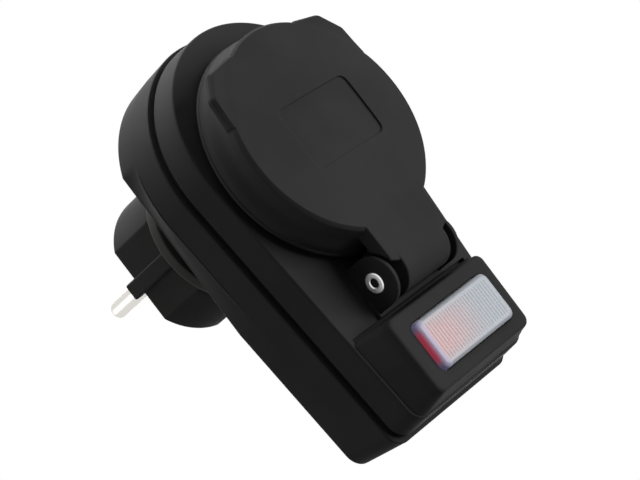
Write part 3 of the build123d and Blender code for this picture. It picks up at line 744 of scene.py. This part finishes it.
# %% [markdown]
# ## Shader sums
# Finishes are small sums of noise. A class that wraps a socket lets those sums be written as
# plain Python, and one method adds any other node.

# %% Shader helpers
class Signal:
    """A socket of a shader tree that takes part in Python sums by adding Math nodes."""

    def __init__(self, finish, socket):
        self.finish, self.socket = finish, socket

    def sum(self, operation, other, swapped=False):
        pair = (other, self) if swapped else (self, other)
        return self.finish.node("ShaderNodeMath", {"operation": operation}, *pair)

    def __add__(self, other):
        return self.sum("ADD", other)

    def __radd__(self, other):
        return self.sum("ADD", other, True)

    def __sub__(self, other):
        return self.sum("SUBTRACT", other)

    def __rsub__(self, other):
        return self.sum("SUBTRACT", other, True)

    def __mul__(self, other):
        return self.sum("MULTIPLY", other)

    def clamped(self, low, high, to_low=0.0, to_high=1.0):
        """A soft step between two values as the socket goes from low to high."""
        return self.finish.node("ShaderNodeMapRange", {"interpolation_type": "SMOOTHSTEP"},
                                self, low, high, to_low, to_high)


class Finish:
    """A material with its shader and a method that adds nodes."""

    def __init__(self, name, **constants):
        self.material = bpy.data.materials.new(name)
        self.material.use_nodes = True
        self.tree = self.material.node_tree
        self.shader = self.tree.nodes["Principled BSDF"]
        for key, value in constants.items():
            self.shader.inputs[key.replace("_", " ")].default_value = value

    def link(self, target, value):
        if isinstance(value, Signal):
            self.tree.links.new(value.socket, target)
        else:
            target.default_value = value

    def node(self, kind, settings, *values, out=0, **named):
        """Adds a node, sets its options, fills its inputs by order or name, gives one output."""
        made = self.tree.nodes.new(kind)
        for key, value in settings.items():
            setattr(made, key, value)
        for target, value in zip(made.inputs, values):
            self.link(target, value)
        for key, value in named.items():
            self.link(made.inputs[key], value)
        return Signal(self, made.outputs[out])

    def place(self):
        """The point in the object's own coordinates, in metres."""
        return self.node("ShaderNodeTexCoord", {}, out=3)

    def noise(self, scale, detail=2.0, rough=0.5):
        return self.node("ShaderNodeTexNoise", {}, self.place(), Scale=scale, Detail=detail,
                         Roughness=rough)

    def mix(self, share, first, second):
        made = self.tree.nodes.new("ShaderNodeMix")
        made.data_type = "RGBA"
        self.link(made.inputs[0], share)
        self.link(made.inputs[6], first)
        self.link(made.inputs[7], second)
        return Signal(self, made.outputs[2])

    def feed(self, socket, value):
        self.link(self.shader.inputs[socket], value)

    def bump(self, height, distance, strength):
        self.feed("Normal", self.node("ShaderNodeBump", {}, Strength=strength, Distance=distance,
                                      Height=height))

    def cover(self, *pieces):
        for piece in pieces:
            piece.data.materials.clear()
            piece.data.materials.append(self.material)


def shade(colour, factor):
    """A colour times a factor, with full opacity."""
    return [c * factor for c in colour] + [1]


nodes = frame["nodes"]
print("shader helpers ready")

# %% [markdown]
# ## Black moulded plastic
# The covers and the lid have the fine spark-eroded grain of a tool. At arm's length it reads as
# an even satin grey. An image could carry the grain, but noise needs none: the grain is a tiny
# bump and the colour only drifts a little. The grain scatters nearly all mirrored light, so the
# gloss is low. The seal ring is the one smooth, slightly shinier rubber that shows.

# %% Black finishes
def black_moulding(name, colour, rough, grain, depth, gloss=0.025):
    """Dark plastic: colour and gloss drift with slow noise, and the bump is a fine grain."""
    finish = Finish(name, Specular_IOR_Level=gloss)
    drift = finish.noise(45, 3.0)
    dust = finish.noise(900, 2.0)
    finish.feed("Base Color", finish.mix(drift.clamped(0.3, 0.7), shade(colour, 0.9),
                                         shade(colour, 1.12)))
    finish.feed("Roughness", rough + (drift - 0.5) * 0.12 + (dust - 0.5) * 0.1)
    fine, coarse = finish.noise(grain, 2.0, 0.6), finish.noise(grain * 0.37, 1.0)
    finish.bump(fine + coarse * 0.6, depth, 0.5)
    return finish


shell = black_moulding("grained black plastic", (0.0290, 0.0287, 0.0296), 0.60, 4200, 0.00003)
shell.cover(rear_cover, front_cover, switch_block, hinge_lugs, ledge, lid, tongue)
plug_black = black_moulding("satin black plastic", (0.0290, 0.0284, 0.0282), 0.62, 3000, 0.00002)
plug_black.cover(plug_head, nodes["socket_insert"])
rubber = black_moulding("black rubber", (0.022, 0.0225, 0.0215), 0.6, 2500, 0.00002)
rubber.cover(nodes["body_seal"], nodes["lid_seal"])
ring_rubber = black_moulding("smooth black rubber", (0.030, 0.031, 0.028), 0.45, 2500, 0.00001,
                             gloss=0.06)
ring_rubber.cover(seal)
switch_black = black_moulding("smooth black plastic", (0.02, 0.02, 0.02), 0.3, 3000, 0.00001)
switch_black.cover(nodes["switch_base"])
print("black finishes:", [m.name for m in bpy.data.materials if "black" in m.name])

# %% [markdown]
# ## Metals
# The pins are nickel plated with a drawn satin, the hinge pin is bright chrome, and the hidden
# springs, screws and bars are plain steel and brass. They differ in colour and gloss alone, so
# one function makes all four from a metallic shader with a little noise.

# %% Metal finishes
def metal(name, colour, rough, scale):
    """Metal whose colour and gloss drift with one noise, over a bump of finer noise."""
    finish = Finish(name, Metallic=1.0)
    tone = finish.noise(scale, 3.0)
    finish.feed("Base Color", finish.mix(tone, shade(colour, 0.94), shade(colour, 1)))
    finish.feed("Roughness", rough + (tone - 0.5) * 0.12)
    finish.bump(finish.noise(scale * 2.2, 2.0), 0.00001, 0.3)
    return finish


metal("satin nickel", (0.72, 0.70, 0.66), 0.3, 1500).cover(
    bpy.data.objects["pin_left"], bpy.data.objects["pin_right"],
    nodes["plug_earth_bow"], nodes["socket_earth_bow"])
metal("bright chrome", (0.93, 0.93, 0.93), 0.4, 900).cover(hinge_pin)
metal("zinc steel", (0.52, 0.52, 0.53), 0.34, 1200).cover(
    nodes["cover_screws"], nodes["lid_spring"], nodes["plug_retaining_ring"])
metal("stamped brass", (0.72, 0.53, 0.25), 0.3, 1200).cover(
    *[nodes[n] for n in ("socket_contact_left", "socket_contact_right", "earth_bar",
                         "neutral_bar", "live_bar_in", "live_bar_out", "switch_terminals")])
print("finishes so far:", len(bpy.data.materials))

# %% [markdown]
# ## Lit switch
# The lamp sits under one end of the rocker, so the milky cap glows red at that end and stays
# pale blue-grey at the other. Light passing through real silicone would need many samples, so
# the glow is painted with soft masks of the position: a red tint on the top that grows along X,
# and the strongest red low on the end wall. The end wall also gets a faint lilac painted glow and
# a more violet colour, and the rocker gets a painted red glow of its own. Another mask paints
# shade into the bottom of the grooves.

# %% Rocker, lamp and cap
# Painted glow: the rocker gives off faint red light, in place of the lamp shining through it.
rocker_red = Finish("clear red plastic", Specular_IOR_Level=0.5, Emission_Strength=0.35)
glow = rocker_red.noise(300, 2.0)
rocker_red.feed("Base Color", rocker_red.mix(glow, [0.5, 0.02, 0.015, 1], [0.62, 0.04, 0.03, 1]))
rocker_red.feed("Emission Color", rocker_red.mix(glow, [0.9, 0.05, 0.03, 1], [1.0, 0.1, 0.06, 1]))
rocker_red.feed("Roughness", 0.22 + glow * 0.1)
rocker_red.cover(nodes["switch_rocker"])

lamp = Finish("warm lamp glass", Emission_Strength=1.5)
warm = lamp.noise(500, 2.0)
lamp.feed("Base Color", lamp.mix(warm, [0.9, 0.4, 0.25, 1], [0.95, 0.5, 0.3, 1]))
lamp.feed("Emission Color", lamp.mix(warm, [1.0, 0.35, 0.15, 1], [1.0, 0.45, 0.2, 1]))
lamp.feed("Roughness", 0.15 + warm * 0.1)
lamp.cover(nodes["indicator_lamp"])

silicone = Finish("milky silicone", Specular_IOR_Level=0.45, Emission_Strength=1.0)
at_x, at_y, at_z = [silicone.node("ShaderNodeSeparateXYZ", {}, silicone.place(), out=k)
                    for k in range(3)]
off_middle = (at_z - SWITCH_Z / 1000) * (at_z - SWITCH_Z / 1000)
haze, cloud = silicone.noise(120, 2.0), silicone.noise(260, 2.0)
# Painted glow: the top turns pink towards the lamp's end, in place of its red light through the
# silicone.
on_top = at_x.clamped(-0.009, 0.0095) * (1 - off_middle * 26000).clamped(0.0, 1.0)
on_top = on_top * (0.65 + haze * 0.6)
on_end = at_x.clamped(0.0115, 0.0121)
on_wall = at_y.clamped(-0.0625, -0.0616) * on_end * (1 - off_middle * 38000).clamped(0.0, 0.8)
# Painted shade: the bottom of each groove is darkened where shade falls.
groove = at_y.clamped(-0.06249, -0.06242) * (1 - at_x.clamped(0.0112, 0.0114))
pale = silicone.mix(cloud, [0.315, 0.35, 0.385, 1], [0.365, 0.40, 0.435, 1])
glow_tinted = silicone.mix(on_top, pale, [0.54, 0.34, 0.345, 1])
groove_shaded = silicone.mix(groove * 0.35, glow_tinted, [0.16, 0.15, 0.17, 1])
edged = silicone.mix(on_end * 0.8, groove_shaded, [0.25, 0.24, 0.34, 1])
# Painted glow: low in the end wall's middle the colour turns deep red, as if lit from the lamp
# inside.
silicone.feed("Base Color", silicone.mix(on_wall * 0.9, edged, [0.52, 0.07, 0.11, 1]))
# Painted glow: the end wall gives off faint lilac light, and strong red light low in its middle.
end_glow = silicone.mix(on_end, [0.0, 0.0, 0.0, 1], [0.045, 0.04, 0.075, 1])
silicone.feed("Emission Color", silicone.mix(on_wall, end_glow, [0.20, 0.022, 0.04, 1]))
silicone.feed("Roughness", 0.36 + cloud * 0.1)
silicone.bump(silicone.noise(1800, 2.0), 0.00002, 0.3)
silicone.cover(rubber_cap)
print("the lit end of the cap is at +x, around z", SWITCH_Z, "mm")

# %% [markdown]
# ## Camera
# The picture looks at the part from its right and a little above, with the camera rolled so
# far that the lid's hinge points down to the right. A camera that tracks a target would stay
# upright, so its axes are worked out from azimuth, elevation and roll instead, and are written
# straight into its matrix.

# %% Camera
AZ, EL, ROLL, DISTANCE = 0.8037, 0.0567, -2.4871, 0.49988
FOCAL_PIXELS, WIDE_PIXELS, SENSOR = 2200, 640, 36.0
target = Vector((2.461, -44.374, 18.595)) / 1000
back = Vector((sin(AZ) * cos(EL), -cos(AZ) * cos(EL), sin(EL)))
level_right = (-back).cross(Vector((0, 0, 1))).normalized()
level_down = (-back).cross(level_right)
right = level_right * cos(ROLL) + level_down * sin(ROLL)
down = -level_right * sin(ROLL) + level_down * cos(ROLL)
camera_data = bpy.data.cameras.new("camera")
camera_data.sensor_width, camera_data.lens = SENSOR, FOCAL_PIXELS / WIDE_PIXELS * SENSOR
camera_data.clip_start, camera_data.clip_end = 0.01, 50
camera = bpy.data.objects.new("camera", camera_data)
eye = target + back * DISTANCE
camera.matrix_world = Matrix((
    (right.x, -down.x, back.x, eye.x), (right.y, -down.y, back.y, eye.y),
    (right.z, -down.z, back.z, eye.z), (0, 0, 0, 1)))
bpy.context.scene.collection.objects.link(camera)
bpy.context.scene.camera = camera
print("eye at", [round(v * 1000, 1) for v in eye], "mm")

# %% [markdown]
# ## Light and ground
# The photo is a studio picture: soft light, and a white ground. A picture of a studio could
# light the scene, but a few square panels are easier to steer. A large one in front, on the far
# side, gives the main light. Weaker ones stand beyond the round end, at the near side and at the
# back, and the world adds a little from all round. A pale floor lies far below the object and
# melts into the white background, which rays from the camera see at full strength.

# %% Light and ground
world = bpy.data.worlds.new("studio")
bpy.context.scene.world = world
world.use_nodes = True
tree = world.node_tree
tree.nodes.clear()
AMBIENT, FLOOR_Z, FLOOR_HALF = 0.06, -0.36, 6
PANELS = {  # name: direction from the object, distance and size in metres, power in watts
    "key panel": ((-0.5, -0.85, 0.15), 0.9, 0.65, 8.5),
    "head panel": ((-0.05, 0.18, -1.0), 0.28, 0.2, 1.3),
    "side panel": ((1.0, 0.75, -0.1), 0.8, 0.5, 1.2),
    "back panel": ((-0.8, 1.0, -0.1), 0.9, 0.6, 4.0)}


def seen_rays(tree):
    """A socket that is 1 for rays from the camera and for mirrored or passing rays."""
    rays = tree.nodes.new("ShaderNodeLightPath")
    value = rays.outputs["Is Camera Ray"]
    for name in ("Is Glossy Ray", "Is Transmission Ray"):
        both = tree.nodes.new("ShaderNodeMath")
        both.operation = "MAXIMUM"
        tree.links.new(value, both.inputs[0])
        tree.links.new(rays.outputs[name], both.inputs[1])
        value = both.outputs[0]
    return value


blend = tree.nodes.new("ShaderNodeMixShader")
output = tree.nodes.new("ShaderNodeOutputWorld")
tree.links.new(seen_rays(tree), blend.inputs[0])
for socket, strength in ((1, AMBIENT), (2, 1.0)):
    background = tree.nodes.new("ShaderNodeBackground")
    background.inputs["Color"].default_value = (1, 1, 1, 1)
    background.inputs["Strength"].default_value = strength
    tree.links.new(background.outputs[0], blend.inputs[socket])
tree.links.new(blend.outputs[0], output.inputs[0])


def panel(name, direction, distance, size, power):
    """A square area light in a direction from the object, aimed at the object."""
    data = bpy.data.lights.new(name, "AREA")
    data.shape, data.size, data.energy = "SQUARE", size, power
    light = bpy.data.objects.new(name, data)
    way = Vector(direction).normalized()
    turn = way.to_track_quat("Z", "Y").to_matrix().to_4x4()
    light.matrix_world = Matrix.Translation(target + way * distance) @ turn
    bpy.context.scene.collection.objects.link(light)


for name, settings in PANELS.items():
    panel(name, *settings)

floor_mesh = bpy.data.meshes.new("floor")
corners = [(x * FLOOR_HALF, y * FLOOR_HALF, FLOOR_Z)
           for x, y in ((-1, -1), (1, -1), (1, 1), (-1, 1))]
floor_mesh.from_pydata(corners, [], [(0, 1, 2, 3)])
floor = bpy.data.objects.new("floor", floor_mesh)
bpy.context.scene.collection.objects.link(floor)
ground = Finish("pale floor", Roughness=0.9, Base_Color=(0.86, 0.86, 0.86, 1))
spread = ground.node("ShaderNodeVectorMath", {"operation": "LENGTH"}, ground.place(), out=1)
share = Signal(ground, seen_rays(ground.tree)) * spread.clamped(0.15, 0.7, 0.8, 1.0)
white = ground.node("ShaderNodeEmission", {}, Color=(1, 1, 1, 1), Strength=1.0)
matte = Signal(ground, ground.shader.outputs[0])
shown = ground.node("ShaderNodeMixShader", {}, share, matte, white)
ground.tree.links.new(shown.socket, ground.tree.nodes["Material Output"].inputs["Surface"])
ground.cover(floor)
bpy.context.scene.view_settings.view_transform = "Standard"
print("lights:", list(PANELS), "floor at z", FLOOR_Z, "m")
